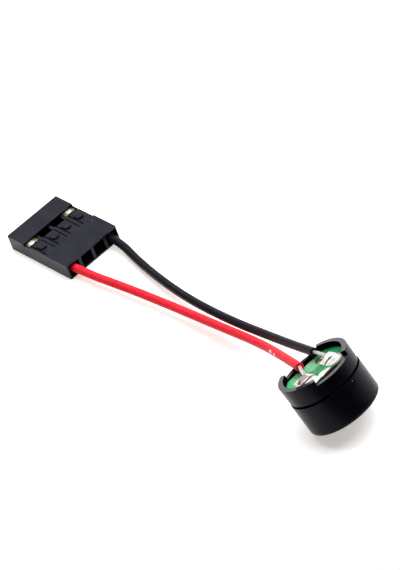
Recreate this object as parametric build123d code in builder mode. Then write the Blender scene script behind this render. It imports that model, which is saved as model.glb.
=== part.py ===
"""Small round piezo buzzer on a red and a black wire that end in a four-way socket connector.

The connector lies flat on the surface, and the stiff wires hold the buzzer leaning towards it
on the edge of its closed end. Millimetres, +Z up, origin on the surface under the buzzer.
"""
from build123d import *
import math
import os

os.makedirs("parts", exist_ok=True)

# Buzzer: outside
BODY_RADIUS = 5.62
CUP_HEIGHT = 5.0
RING_HEIGHT = 3.15
CLOSED_EDGE_FILLET = 0.45
SOUND_HOLE_DIAMETER = 2.0
JOINT_GROOVE_WIDTH = 0.36
JOINT_GROOVE_DEPTH = 0.28
RING_STEP = 0.09
RIM_FLARE = 0.05
RIM_EDGE = 0.05
RIM_DROP = 0.8
BACK_GAP_ANGLE = 75.0
FRONT_GAP_ANGLE = 70.0
FRONT_GAP_TURN = 7.0

# Buzzer: inside of the cup and of the ring
CUP_FLOOR = 0.8
CUP_WALL = 0.8
LEDGE_WIDTH = 0.6
CHAMBER_HEIGHT = 1.2
RING_WALL = 0.83
SPIGOT_LENGTH = 1.2
SPIGOT_WALL = 0.75
SPIGOT_CLEARANCE = 0.03

# Buzzer: how it leans, and how its rim is turned about its own axis
LEAN_ANGLE = 24.2
RIM_TURN = -17.5

# Circuit board and what is soldered on it
BOARD_DEPTH = 0.92
BOARD_THICKNESS = 0.8
BOARD_CLEARANCE = 0.08
BOARD_HOLE_DIAMETER = 0.7
PAD_CORNER = 0.9
PAD_THICKNESS = 0.05
SOLDER_MARGIN = 0.12
SOLDER_HEIGHT = 0.62
SOLDER_SHOULDER_HEIGHT = 0.37
SOLDER_SHOULDER = 0.7
SOLDER_CROWN = 0.35

# Layout of the board, as shares of its radius
FRONT_FLAT_SHARE = 0.745
BACK_FLAT_SHARE = 0.73
BOARD_HOLE_SHARES = (-0.185, 0.287)
PAD_LENGTH_SHARE = 0.955
PAD_WIDTH_SHARE = 0.531
PAD_SPACING_SHARE = 0.977
PAD_CENTRE_SHARES = (0.123, 0.011)
CONDUCTOR_DIP_SHARE = -0.11

# Piezo element and its leads
ADHESIVE_THICKNESS = 0.1
ADHESIVE_WIDTH = 0.42
PLATE_CLEARANCE = 0.1
PLATE_THICKNESS = 0.2
CERAMIC_SHARE = 0.6
CERAMIC_THICKNESS = 0.2
ELECTRODE_SHARE = 0.93
ELECTRODE_THICKNESS = 0.05
LEAD_DIAMETER = 0.3
LEAD_WALL_GAP = 0.42
JOINT_RADIUS = 0.3
JOINT_HEIGHT = 0.22
JOINT_TAPER_ANGLE = 25.0

# Wires
WIRE_DIAMETER = 1.28
CONDUCTOR_DIAMETER = 0.5
CONDUCTOR_BEND = 0.35
CONDUCTOR_DIP_HEIGHT = 0.15
BEND_SHARE = 0.45

# Connector housing: four ways at one pitch
PITCH = 2.54
WAYS = 4
HOUSING_LENGTH = 14.0
HOUSING_HEIGHT = 2.54
HOUSING_EDGE = 0.12
CAVITY_SIZE = 2.04
CAVITY_FRONT_WALL = 0.6
PIN_ENTRY_SIZE = 0.9
PIN_ENTRY_CHAMFER = 0.25
WINDOW_START = 3.8
WINDOW_END = 5.4
WINDOW_GROOVE_DEPTH = 0.35
TONGUE_END = 8.9
SLIT_WIDTH = 0.28
BACK_SLIT_WIDTH = 0.1
TONGUE_DROP = 0.12
TONGUE_BUMP_START = 5.95
TONGUE_BUMP_LENGTH = 1.5
TONGUE_BUMP_WIDTH = 1.15
TONGUE_BUMP_CORNER = 0.38
TONGUE_BUMP_HEIGHT = 0.2
TONGUE_BARB_LENGTH = 0.7
TONGUE_BARB_DEPTH = 0.3
SIDE_RECESS_DEPTH = 0.3
SIDE_RECESS_HEIGHT = 0.3
HOUSING_PLACE = (-69.24, 17.39, 0.0)
HOUSING_TURN = -10.3

# Crimped socket terminals
SHEET = 0.2
SOCKET_WIDTH = 1.8
SOCKET_HEIGHT = 1.72
SOCKET_START = 0.7
SOCKET_END = 4.75
NECK_WIDTH = 1.0
WEB_WIDTH = 0.4
CORE_CRIMP_START = 7.3
CORE_CRIMP_END = 9.3
WIRE_CRIMP_START = 10.5
WIRE_CRIMP_END = 12.4
CRIMP_CLEARANCE = 0.02
CORE_START = 6.9

# Routes of the two wires: exits from the middle of the rim in the buzzer's own directions,
# then free points from the origin, then distances along the wire's way in the housing
RED_EXIT = [(-2.72, -0.86, -0.18), (-9.09, -0.19, 0.32)]
RED_FREE = [
    (-16.64, 5.25, 4.15),
    (-25.83, 7.38, 2.49),
    (-35.68, 9.02, 1.7),
    (-44.5, 10.09, 1.46),
]
BLACK_EXIT = [(-3.15, 2.15, -0.16), (-8.55, 2.04, 0.25)]
BLACK_FREE = [
    (-15.53, 6.62, 4.53),
    (-23.81, 8.55, 2.85),
    (-32.6, 10.7, 1.78),
    (-40.0, 12.95, 1.3),
    (-47.66, 15.86, 0.94),
]
WIRE_ENTRY = 15.6
WIRE_TIP = 10.2

# Levels along the buzzer's axis, from its closed end
rim_level = CUP_HEIGHT + RING_HEIGHT
board_level = rim_level - BOARD_DEPTH
board_seat = board_level - BOARD_THICKNESS
pad_level = board_level + PAD_THICKNESS
ledge_level = CUP_FLOOR + CHAMBER_HEIGHT
plate_level = ledge_level + ADHESIVE_THICKNESS
ceramic_level = plate_level + PLATE_THICKNESS
electrode_level = ceramic_level + CERAMIC_THICKNESS
electrode_top = electrode_level + ELECTRODE_THICKNESS

# Radii that follow from the walls
bore_radius = BODY_RADIUS - CUP_WALL
spigot_radius = bore_radius - SPIGOT_CLEARANCE
spigot_bore = spigot_radius - SPIGOT_WALL
chamber_radius = bore_radius - LEDGE_WIDTH
ring_foot_radius = BODY_RADIUS - RING_STEP
rim_radius = ring_foot_radius + RIM_FLARE
pocket_radius = BODY_RADIUS - RING_WALL
board_radius = pocket_radius - BOARD_CLEARANCE
plate_radius = bore_radius - PLATE_CLEARANCE
ceramic_radius = plate_radius * CERAMIC_SHARE
electrode_radius = ceramic_radius * ELECTRODE_SHARE
plate_lead_radius = spigot_bore - LEAD_WALL_GAP
electrode_lead_radius = electrode_radius / 2
wire_radius = WIRE_DIAMETER / 2
core_radius = CONDUCTOR_DIAMETER / 2

# Copper and solder on the board
pad_length = board_radius * PAD_LENGTH_SHARE
pad_width = board_radius * PAD_WIDTH_SHARE
pad_step = board_radius * PAD_SPACING_SHARE / 2
pads_middle = Vector(*PAD_CENTRE_SHARES) * board_radius

# The buzzer's own plane: its closed end, with the lowest edge on the surface
lean = math.radians(LEAN_ANGLE)
flat_radius = BODY_RADIUS - CLOSED_EDGE_FILLET
far_reach = flat_radius * math.cos(lean) + CLOSED_EDGE_FILLET * (1 - math.sin(lean))
near_reach = rim_radius * math.cos(lean) + (rim_level - RIM_DROP) * math.sin(lean)
closed_end_centre = (
    (near_reach - far_reach) / 2,
    0,
    flat_radius * math.sin(lean) + CLOSED_EDGE_FILLET * (1 - math.cos(lean)),
)
rim_turn = math.radians(RIM_TURN)
buzzer_plane = Plane(
    closed_end_centre,
    x_dir=(math.cos(rim_turn) * math.cos(lean), math.sin(rim_turn), math.cos(rim_turn) * math.sin(lean)),
    z_dir=(-math.sin(lean), 0, math.cos(lean)),
)
buzzer_axis = Axis(buzzer_plane.origin, buzzer_plane.z_dir)
section_plane = Plane(buzzer_plane.origin, x_dir=buzzer_plane.x_dir, z_dir=-buzzer_plane.y_dir)

# The housing's own plane: middle of its mating face, x along its length
housing_plane = Plane(HOUSING_PLACE, x_dir=(1, 0, 0), z_dir=(0, 0, 1)).rotated((0, 0, HOUSING_TURN))
wire_level = HOUSING_HEIGHT / 2


def level(height):
    """A plane square to the buzzer's axis, this far from its closed end."""
    return buzzer_plane.offset(height)


def way_centre(way):
    """Distance of a way's middle from the housing's middle line."""
    return (way - (WAYS - 1) / 2) * PITCH


def corner_radii(points):
    """Largest even bend radius that each corner's two runs allow."""
    radii = []
    for before, corner, after in zip(points, points[1:], points[2:]):
        first = corner - before
        second = after - corner
        half_turn = math.radians(first.get_angle(second)) / 2
        radii.append(BEND_SHARE * min(first.length, second.length) / math.tan(half_turn))
    return radii


def wedge(radius, turn, angle):
    """A face from the axis outwards, this many degrees wide, about this direction."""
    half = math.radians(angle / 2)
    middle = math.radians(turn)
    start = (radius * math.cos(middle - half), radius * math.sin(middle - half))
    top = (radius * math.cos(middle), radius * math.sin(middle))
    end = (radius * math.cos(middle + half), radius * math.sin(middle + half))
    with BuildLine() as outline:
        Line((0, 0), start)
        ThreePointArc(start, top, end)
        Line(end, (0, 0))
    make_face(outline.edges())


# Cup with a sound hole, a front chamber, a ledge for the piezo plate and a bore for the ring
with BuildPart() as sounder_case:
    with BuildSketch(section_plane):
        with BuildLine():
            Polyline(
                (SOUND_HOLE_DIAMETER / 2, 0),
                (BODY_RADIUS, 0),
                (BODY_RADIUS, CUP_HEIGHT),
                (bore_radius, CUP_HEIGHT),
                (bore_radius, ledge_level),
                (chamber_radius, ledge_level),
                (chamber_radius, CUP_FLOOR),
                (SOUND_HOLE_DIAMETER / 2, CUP_FLOOR),
                close=True,
            )
        make_face()
    revolve(axis=buzzer_axis)
    closed_end = sounder_case.faces().sort_by(buzzer_axis)[0]
    fillet(closed_end.edges().sort_by(SortBy.LENGTH)[-1], CLOSED_EDGE_FILLET)
sounder_case.part.label = "sounder_case"
export_step(sounder_case.part, "parts/sounder_case.step")

# Ring with a spigot in the cup, a groove over the joint, a board pocket and a notched rim
with BuildPart() as base_ring:
    with BuildSketch(section_plane):
        with BuildLine():
            Polyline(
                (spigot_bore, CUP_HEIGHT - SPIGOT_LENGTH),
                (spigot_radius, CUP_HEIGHT - SPIGOT_LENGTH),
                (spigot_radius, CUP_HEIGHT),
                (BODY_RADIUS - JOINT_GROOVE_DEPTH, CUP_HEIGHT),
                (BODY_RADIUS - JOINT_GROOVE_DEPTH, CUP_HEIGHT + JOINT_GROOVE_WIDTH),
                (ring_foot_radius, CUP_HEIGHT + JOINT_GROOVE_WIDTH),
                (rim_radius, rim_level),
                (pocket_radius, rim_level),
                (pocket_radius, board_seat),
                (spigot_bore, board_seat),
                close=True,
            )
        make_face()
    revolve(axis=buzzer_axis)
    rim_face = base_ring.faces().sort_by(buzzer_axis)[-1]
    chamfer(rim_face.edges().sort_by(SortBy.LENGTH)[-1], RIM_EDGE)
    with BuildSketch(level(rim_level)):
        wedge(2 * BODY_RADIUS, 180, BACK_GAP_ANGLE)
        wedge(2 * BODY_RADIUS, FRONT_GAP_TURN, FRONT_GAP_ANGLE)
    extrude(amount=-RIM_DROP, mode=Mode.SUBTRACT)
base_ring.part.label = "base_ring"
export_step(base_ring.part, "parts/base_ring.step")

# Round board with a straight edge at each gap in the rim, and one open hole
with BuildPart() as circuit_board:
    with BuildSketch(level(board_seat)):
        Circle(board_radius)
        for share, side in ((FRONT_FLAT_SHARE, Align.MIN), (-BACK_FLAT_SHARE, Align.MAX)):
            with Locations((board_radius * share, 0)):
                Rectangle(
                    board_radius,
                    2 * board_radius,
                    align=(side, Align.CENTER),
                    mode=Mode.SUBTRACT,
                )
        with Locations(Vector(*BOARD_HOLE_SHARES) * board_radius):
            Circle(BOARD_HOLE_DIAMETER / 2, mode=Mode.SUBTRACT)
    extrude(amount=BOARD_THICKNESS)
circuit_board.part.label = "circuit_board"
export_step(circuit_board.part, "parts/circuit_board.step")

# Piezo element: adhesive ring on the ledge, brass plate, ceramic disc, silver electrode
with BuildPart() as mounting_adhesive:
    with BuildSketch(level(ledge_level)):
        Circle(plate_radius)
        Circle(plate_radius - ADHESIVE_WIDTH, mode=Mode.SUBTRACT)
    extrude(amount=ADHESIVE_THICKNESS)
mounting_adhesive.part.label = "mounting_adhesive"
export_step(mounting_adhesive.part, "parts/mounting_adhesive.step")

discs = (
    ("piezo_plate", plate_level, plate_radius, PLATE_THICKNESS),
    ("ceramic_disc", ceramic_level, ceramic_radius, CERAMIC_THICKNESS),
    ("electrode", electrode_level, electrode_radius, ELECTRODE_THICKNESS),
)
for node, height, radius, thickness in discs:
    with BuildPart() as disc:
        with BuildSketch(level(height)):
            Circle(radius)
        extrude(amount=thickness)
    disc.part.label = node
    export_step(disc.part, f"parts/{node}.step")

# Solder dots on the piezo element, and a fine lead from each straight up to the board
joints = (
    ("plate", -1, plate_lead_radius, ceramic_level),
    ("electrode", 1, electrode_lead_radius, electrode_top),
)
for place, side, radius, height in joints:
    joint_top = height + JOINT_HEIGHT
    with BuildPart() as joint:
        with BuildSketch(level(height)):
            with Locations((0, side * radius)):
                Circle(JOINT_RADIUS)
        extrude(amount=JOINT_HEIGHT, taper=JOINT_TAPER_ANGLE)
    joint.part.label = f"{place}_joint"
    export_step(joint.part, f"parts/{place}_joint.step")

    with BuildPart() as lead:
        with BuildSketch(level(joint_top)):
            with Locations((0, side * radius)):
                Circle(LEAD_DIAMETER / 2)
        extrude(amount=board_seat - joint_top)
    lead.part.label = f"{place}_lead"
    export_step(lead.part, f"parts/{place}_lead.step")

# Wires, with their bare ends, pads and solder mounds at the buzzer
wires = (
    ("red", -1, 0, RED_EXIT, RED_FREE),
    ("black", 1, WAYS - 1, BLACK_EXIT, BLACK_FREE),
)
for colour, side, way, exits, free in wires:
    pad_centre = pads_middle + Vector(0, side * pad_step)
    entries = [Vector(along, way_centre(way), wire_level) for along in (WIRE_ENTRY, WIRE_TIP)]
    route = [level(rim_level).from_local_coords(Vector(*point)) for point in exits]
    route += [Vector(*point) for point in free]
    route += [housing_plane.from_local_coords(point) for point in entries]

    with BuildPart() as wire:
        radii = corner_radii(route)
        with BuildLine() as wire_path:
            FilletPolyline(*route, radius=radii)
        centre_line = wire_path.wires()[0]
        with BuildSketch(Plane(centre_line @ 0, z_dir=centre_line % 0)):
            Circle(wire_radius)
        sweep(path=centre_line)
    wire.part.label = f"{colour}_wire"
    export_step(wire.part, f"parts/{colour}_wire.step")
    print(f"{colour}_wire: length {centre_line.length:.2f}, volume {wire.part.volume:.3f},")
    print(f"  section times length {math.pi * wire_radius ** 2 * centre_line.length:.3f},")
    print("  bend radii", [round(radius, 1) for radius in radii])

    with BuildPart() as pad:
        with BuildSketch(level(board_level)):
            with Locations(pad_centre):
                RectangleRounded(pad_length, pad_width, PAD_CORNER)
        extrude(amount=PAD_THICKNESS)
    pad.part.label = f"{colour}_pad"
    export_step(pad.part, f"parts/{colour}_pad.step")

    # The bare strands leave the wire's end straight, then dip into the solder
    wire_end = route[0]
    outward = (route[0] - route[1]).normalized()
    dip_level = pad_level + core_radius + CONDUCTOR_DIP_HEIGHT
    dip = level(dip_level).from_local_coords(Vector(board_radius * CONDUCTOR_DIP_SHARE, pad_centre.Y))
    with BuildPart() as conductor_end:
        with BuildLine() as strand_path:
            FilletPolyline(
                wire_end,
                wire_end + outward * CONDUCTOR_BEND,
                dip,
                radius=CONDUCTOR_BEND,
            )
        strand_line = strand_path.wires()[0]
        with BuildSketch(Plane(wire_end, z_dir=outward)):
            Circle(core_radius)
        sweep(path=strand_line)
    conductor_end.part.label = f"{colour}_conductor_end"
    export_step(conductor_end.part, f"parts/{colour}_conductor_end.step")

    with BuildPart() as solder:
        mound = (
            (0, 1),
            (SOLDER_SHOULDER_HEIGHT, SOLDER_SHOULDER),
            (SOLDER_HEIGHT, SOLDER_CROWN),
        )
        for height, share in mound:
            with BuildSketch(level(pad_level + height)):
                with Locations(pad_centre):
                    Ellipse(
                        (pad_length / 2 - SOLDER_MARGIN) * share,
                        (pad_width / 2 - SOLDER_MARGIN) * share,
                    )
        loft(ruled=True)
        add(conductor_end.part, mode=Mode.SUBTRACT)
    solder.part.label = f"{colour}_solder"
    export_step(solder.part, f"parts/{colour}_solder.step")

# Housing: block, cavities, pin entries, windows, latch tongues with slits, bumps and barbs
cavity_floor = (HOUSING_HEIGHT - CAVITY_SIZE) / 2
cavity_roof = cavity_floor + CAVITY_SIZE
housing_width = WAYS * PITCH
tongue_width = CAVITY_SIZE - SLIT_WIDTH - BACK_SLIT_WIDTH
pin_entry_mouth = PIN_ENTRY_SIZE + 2 * PIN_ENTRY_CHAMFER
mating_face = Plane(housing_plane.origin, x_dir=housing_plane.y_dir, z_dir=-housing_plane.x_dir)
with BuildPart() as connector_housing:
    with BuildSketch(housing_plane):
        Rectangle(HOUSING_LENGTH, housing_width, align=(Align.MIN, Align.CENTER))
    extrude(amount=HOUSING_HEIGHT)
    chamfer(connector_housing.edges().filter_by(Axis.Z), HOUSING_EDGE)

    for way in range(WAYS):
        middle = way_centre(way)
        near_wall = middle - CAVITY_SIZE / 2
        far_wall = middle + CAVITY_SIZE / 2

        with BuildSketch(housing_plane.offset(cavity_floor)):
            with Locations((CAVITY_FRONT_WALL, middle)):
                Rectangle(HOUSING_LENGTH, CAVITY_SIZE, align=(Align.MIN, Align.CENTER))
        extrude(amount=CAVITY_SIZE, mode=Mode.SUBTRACT)

        with BuildSketch(mating_face):
            with Locations((middle, wire_level)):
                Rectangle(pin_entry_mouth, pin_entry_mouth)
        with BuildSketch(mating_face.offset(-PIN_ENTRY_CHAMFER)):
            with Locations((middle, wire_level)):
                Rectangle(PIN_ENTRY_SIZE, PIN_ENTRY_SIZE)
        loft(mode=Mode.SUBTRACT)
        with BuildSketch(mating_face):
            with Locations((middle, wire_level)):
                Rectangle(PIN_ENTRY_SIZE, PIN_ENTRY_SIZE)
        extrude(amount=-CAVITY_FRONT_WALL, mode=Mode.SUBTRACT)

        with BuildSketch(housing_plane.offset(HOUSING_HEIGHT)):
            with Locations((WINDOW_START, middle)):
                Rectangle(WINDOW_END - WINDOW_START, CAVITY_SIZE, align=(Align.MIN, Align.CENTER))
            with Locations((WINDOW_START, near_wall)):
                Rectangle(TONGUE_END - WINDOW_START, SLIT_WIDTH, align=(Align.MIN, Align.MIN))
            with Locations((WINDOW_START, far_wall)):
                Rectangle(TONGUE_END - WINDOW_START, BACK_SLIT_WIDTH, align=(Align.MIN, Align.MAX))
        extrude(amount=cavity_roof - HOUSING_HEIGHT, mode=Mode.SUBTRACT)

        # The tongue lies lower than the roof, so its upper face is cut and its lower face built up
        for face_level, change in ((HOUSING_HEIGHT, Mode.SUBTRACT), (cavity_roof, Mode.ADD)):
            with BuildSketch(housing_plane.offset(face_level)):
                with Locations((WINDOW_END, near_wall + SLIT_WIDTH)):
                    Rectangle(TONGUE_END - WINDOW_END, tongue_width, align=(Align.MIN, Align.MIN))
            extrude(amount=-TONGUE_DROP, mode=change)

        with BuildSketch(housing_plane.offset(HOUSING_HEIGHT - TONGUE_DROP)):
            with Locations((TONGUE_BUMP_START, middle)):
                RectangleRounded(
                    TONGUE_BUMP_LENGTH,
                    TONGUE_BUMP_WIDTH,
                    TONGUE_BUMP_CORNER,
                    align=(Align.MIN, Align.CENTER),
                )
        extrude(amount=TONGUE_BUMP_HEIGHT)

        with BuildSketch(housing_plane.offset(cavity_roof - TONGUE_DROP)):
            with Locations((WINDOW_END, middle)):
                Rectangle(
                    TONGUE_BARB_LENGTH,
                    CAVITY_SIZE - 2 * SLIT_WIDTH,
                    align=(Align.MIN, Align.CENTER),
                )
        extrude(amount=-TONGUE_BARB_DEPTH)

    with BuildSketch(housing_plane.offset(HOUSING_HEIGHT)):
        with Locations((WINDOW_START, 0)):
            Rectangle(WINDOW_END - WINDOW_START, housing_width, align=(Align.MIN, Align.CENTER))
    extrude(amount=-WINDOW_GROOVE_DEPTH, mode=Mode.SUBTRACT)
    with BuildSketch(housing_plane.offset(HOUSING_HEIGHT)):
        with Locations((WINDOW_START, housing_width / 2)):
            Rectangle(TONGUE_END - WINDOW_START, SIDE_RECESS_DEPTH, align=(Align.MIN, Align.MAX))
    extrude(amount=-SIDE_RECESS_HEIGHT, mode=Mode.SUBTRACT)
connector_housing.part.label = "connector_housing"
export_step(connector_housing.part, "parts/connector_housing.step")

# Terminals: folded sheet socket, neck, core crimp and wire crimp, and the core in the crimp
socket_floor = wire_level - SOCKET_HEIGHT / 2
crimps = (
    (CORE_CRIMP_START, CORE_CRIMP_END, core_radius + CRIMP_CLEARANCE),
    (WIRE_CRIMP_START, WIRE_CRIMP_END, wire_radius + CRIMP_CLEARANCE),
)
for colour, way in (("red", 0), ("black", WAYS - 1)):
    middle = way_centre(way)
    way_origin = housing_plane.from_local_coords(Vector(0, middle, wire_level))
    way_section = Plane(way_origin, x_dir=housing_plane.y_dir, z_dir=housing_plane.x_dir)

    with BuildPart() as terminal:
        with BuildSketch(way_section.offset(SOCKET_START)):
            Rectangle(SOCKET_WIDTH, SOCKET_HEIGHT)
            Rectangle(SOCKET_WIDTH - 2 * SHEET, SOCKET_HEIGHT - 2 * SHEET, mode=Mode.SUBTRACT)
        extrude(amount=SOCKET_END - SOCKET_START)

        for start, end, radius in crimps:
            with BuildSketch(way_section.offset(start)):
                with Locations((0, -SOCKET_HEIGHT / 2)):
                    Rectangle(WEB_WIDTH, SOCKET_HEIGHT / 2, align=(Align.CENTER, Align.MIN))
                Circle(radius + SHEET)
                Circle(radius, mode=Mode.SUBTRACT)
            extrude(amount=end - start)

        with BuildSketch(way_section.offset(SOCKET_END - SHEET)):
            with Locations((0, -SOCKET_HEIGHT / 2)):
                Rectangle(NECK_WIDTH, SHEET, align=(Align.CENTER, Align.MIN))
        extrude(amount=WIRE_CRIMP_END - SOCKET_END + SHEET)
    terminal.part.label = f"{colour}_terminal"
    export_step(terminal.part, f"parts/{colour}_terminal.step")

    with BuildPart() as crimped_core:
        with BuildSketch(way_section.offset(CORE_START)):
            Circle(core_radius)
        extrude(amount=WIRE_TIP - CORE_START)
    crimped_core.part.label = f"{colour}_crimped_core"
    export_step(crimped_core.part, f"parts/{colour}_crimped_core.step")
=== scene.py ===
"""Looks of a small round piezo buzzer on a red and a black wire with a four-way connector.

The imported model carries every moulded, stamped and laminated piece. This script gives those
pieces their finishes, lays the two wires as smooth cords, and models what the plain solids
only stand for: the solder on the board and the bare twisted strands. A white studio with a
camera at the photograph's angle stands around them.
"""

import logging
import math
from dataclasses import dataclass, field
from enum import Enum

import bmesh
import bpy
from mathutils import Matrix, Vector, noise


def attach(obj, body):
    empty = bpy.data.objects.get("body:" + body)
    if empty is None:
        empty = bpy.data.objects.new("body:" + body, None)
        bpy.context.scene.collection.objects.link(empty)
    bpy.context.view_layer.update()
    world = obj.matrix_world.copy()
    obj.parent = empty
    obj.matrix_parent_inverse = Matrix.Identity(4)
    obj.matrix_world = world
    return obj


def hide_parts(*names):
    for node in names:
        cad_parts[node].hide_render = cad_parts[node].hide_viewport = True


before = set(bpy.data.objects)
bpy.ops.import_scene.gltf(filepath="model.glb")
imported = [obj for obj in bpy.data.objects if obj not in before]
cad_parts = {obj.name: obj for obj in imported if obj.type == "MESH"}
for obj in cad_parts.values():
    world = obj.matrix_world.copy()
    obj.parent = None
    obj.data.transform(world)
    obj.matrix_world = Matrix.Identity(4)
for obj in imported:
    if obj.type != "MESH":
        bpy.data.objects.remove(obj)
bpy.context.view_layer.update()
log = logging.getLogger("buzzer")

MM = 0.001
ROOT = "root"

Colour = tuple[float, float, float, float]
Point = tuple[float, float, float]
Range = tuple[float, float]
Spot = tuple[float, float]
Socket = bpy.types.NodeSocket


# Places


@dataclass(frozen=True)
class BuzzerPlace:
    """Where the leaning buzzer stands, in millimetres and degrees."""

    body_radius: float = 5.62
    edge_fillet: float = 0.45
    rim_radius: float = 5.58
    rim_level: float = 8.15
    rim_drop: float = 0.8
    lean: float = 24.2
    rim_turn: float = -17.5

    def matrix(self, level: float) -> Matrix:
        """Turn the buzzer's own directions into the row frame.

        Args:
            level: Height of the wanted origin above the closed end, in millimetres.

        Returns:
            A matrix from own millimetres to metres in the row frame.
        """
        lean, turn = math.radians(self.lean), math.radians(self.rim_turn)
        sine, cosine = math.sin(lean), math.cos(lean)
        flat = self.body_radius - self.edge_fillet
        far = flat * cosine + self.edge_fillet * (1 - sine)
        near = self.rim_radius * cosine + (self.rim_level - self.rim_drop) * sine
        centre = Vector(((near - far) / 2, 0, flat * sine + self.edge_fillet * (1 - cosine)))
        axis = Vector((-sine, 0, cosine))
        front = Vector((math.cos(turn) * cosine, math.sin(turn), math.cos(turn) * sine))
        turned = Matrix((front, axis.cross(front), axis)).transposed().to_4x4()
        return Matrix.Scale(MM, 4) @ Matrix.Translation(centre + axis * level) @ turned


@dataclass(frozen=True)
class HousingPlace:
    """Where the connector housing lies, in millimetres and degrees."""

    corner: Point = (-69.24, 17.39, 0.0)
    turn: float = -10.3
    pitch: float = 2.54
    ways: int = 4
    height: float = 2.54

    def matrix(self) -> Matrix:
        """Turn the housing's own millimetres into metres in the row frame."""
        turned = Matrix.Rotation(math.radians(self.turn), 4, "Z")
        return Matrix.Scale(MM, 4) @ Matrix.Translation(self.corner) @ turned

    def aside(self, way: int) -> float:
        """Distance of a way from the housing's middle line, counted from the red wire's side."""
        return (way - (self.ways - 1) / 2) * self.pitch

    def in_way(self, way: int, along: float) -> Vector:
        """Find the point, in metres, on a way's middle line at a distance from the mating face."""
        return self.matrix() @ Vector((along, self.aside(way), self.height / 2))


# Shader building


class Graph:
    """A node tree with short calls that add and join its nodes."""

    def __init__(self, tree: bpy.types.NodeTree) -> None:
        """Take the tree to build in."""
        self.tree = tree

    def add(self, kind: str, inputs: dict | None = None, **settings: object) -> bpy.types.Node:
        """Add one node.

        Args:
            kind: Blender's name of the node type, without the leading "ShaderNode".
            inputs: Values or output sockets, by input name or number.
            **settings: Properties to set on the node.

        Returns:
            The new node.
        """
        node = self.tree.nodes.new("ShaderNode" + kind)
        for name, value in settings.items():
            setattr(node, name, value)
        for name, value in (inputs or {}).items():
            if isinstance(value, Socket):
                self.tree.links.new(value, node.inputs[name])
            else:
                node.inputs[name].default_value = value
        return node

    def place(self) -> Socket:
        """Return the shaded place in the row frame, in metres."""
        return self.add("TexCoord").outputs["Object"]

    def maths(self, operation: str, first: object, second: object, clamp: bool = True) -> Socket:
        """Add a Math node and return its value."""
        values = {0: first, 1: second}
        return self.add("Math", values, operation=operation, use_clamp=clamp).outputs[0]

    def vector(self, operation: str, first: object, second: object) -> Socket:
        """Add a Vector Math node and return its vector."""
        return self.add("VectorMath", {0: first, 1: second}, operation=operation).outputs[0]

    def measure(self, operation: str, first: object, second: object = (0, 0, 0)) -> Socket:
        """Add a Vector Math node and return its value."""
        node = self.add("VectorMath", {0: first, 1: second}, operation=operation)
        return node.outputs["Value"]

    def blend(self, mask: object, low: object, high: object) -> Socket:
        """Mix two colours by a mask, which is the share of the second one."""
        return self.add("Mix", {0: mask, 6: low, 7: high}, data_type="RGBA").outputs[2]

    def average(self, share: object, low: object, high: object) -> Socket:
        """Mix two values by the share of the second one."""
        return self.add("Mix", {0: share, 2: low, 3: high}, data_type="FLOAT").outputs[0]

    def span(self, value: Socket, source: Range, result: Range = (0.0, 1.0)) -> Socket:
        """Map a value from its source range to the result range, with soft ends."""
        ends = dict(zip(("From Min", "From Max", "To Min", "To Max"), source + result))
        node = self.add("MapRange", ends | {"Value": value}, interpolation_type="SMOOTHSTEP")
        return node.outputs[0]

    def cloud(self, rate: object, detail: float = 2.0, roughness: float = 0.5) -> Socket:
        """Return noise of about 0.5, by its clouds to a metre and its finer layers."""
        inputs = {"Vector": self.place(), "Scale": rate, "Detail": detail, "Roughness": roughness}
        return self.add("TexNoise", inputs).outputs["Fac"]

    def relief(self, height: Socket, strength: object, distance: float) -> Socket:
        """Bump the surface by a height, with its full depth in metres, and return its normal."""
        inputs = {"Height": height, "Strength": strength, "Distance": distance}
        return self.add("Bump", inputs).outputs["Normal"]

    def facing(self, direction: object) -> Socket:
        """Return the cosine between the face's own normal and a direction."""
        normal = self.add("NewGeometry").outputs["Normal"]
        return self.measure("DOT_PRODUCT", direction, normal)

    def near(self, centre: Point, radius: float, soft: float) -> Socket:
        """Mask a ball round a point, with a soft edge outside its radius, all in metres."""
        reach = self.measure("DISTANCE", self.place(), centre)
        return self.span(reach, (radius + soft, radius))

    def principled(self, colour: Socket, rough: Socket, normal: Socket, more: dict) -> Socket:
        """Add a Principled shader with more inputs by name, and return its output."""
        inputs = {"Base Color": colour, "Roughness": rough, "Normal": normal} | more
        return self.add("BsdfPrincipled", inputs).outputs[0]


@dataclass(frozen=True)
class Patch:
    """A soft-edged oval of another colour on a plane, in the plane's own millimetres."""

    x: float
    y: float
    reach_x: float
    reach_y: float
    colour: Colour
    share: float = 1.0
    edge: Range = (1.75, 1.25)

    def mask(self, graph: Graph, flat: Socket, uneven: Socket) -> Socket:
        """Mask this patch.

        Args:
            graph: The material's graph.
            flat: Place in the plane's own millimetres.
            uneven: A value about 0.5 that breaks the patch's edge up.

        Returns:
            A mask that is highest in the patch's middle.
        """
        shifted = graph.vector("SUBTRACT", flat, (self.x, self.y, 0))
        scaled = graph.vector("DIVIDE", shifted, (self.reach_x, self.reach_y, 1))
        length = graph.measure("LENGTH", scaled)
        rough = graph.maths("ADD", length, uneven, clamp=False)
        return graph.span(rough, self.edge, (0.0, self.share))


def flat_place(graph: Graph, plane: Matrix) -> Socket:
    """Find the shaded place in a plane's own millimetres, with its height left out.

    Args:
        graph: The material's graph.
        plane: Matrix from the plane's millimetres to metres in the row frame.

    Returns:
        The place as a vector socket.
    """
    offset = graph.vector("SUBTRACT", graph.place(), tuple(plane.translation))
    parts = {}
    for column in (0, 1):
        direction = plane.col[column].to_3d()
        along = tuple(direction / direction.length_squared)
        parts[column] = graph.measure("DOT_PRODUCT", offset, along)
    return graph.add("CombineXYZ", parts).outputs[0]


def upper_mask(graph: Graph, plane: Matrix, source: Range) -> Socket:
    """Mask the faces that look out of a plane, by the range of their cosine with its axis."""
    axis = tuple(plane.col[2].to_3d().normalized())
    return graph.span(graph.facing(axis), source)


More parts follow.
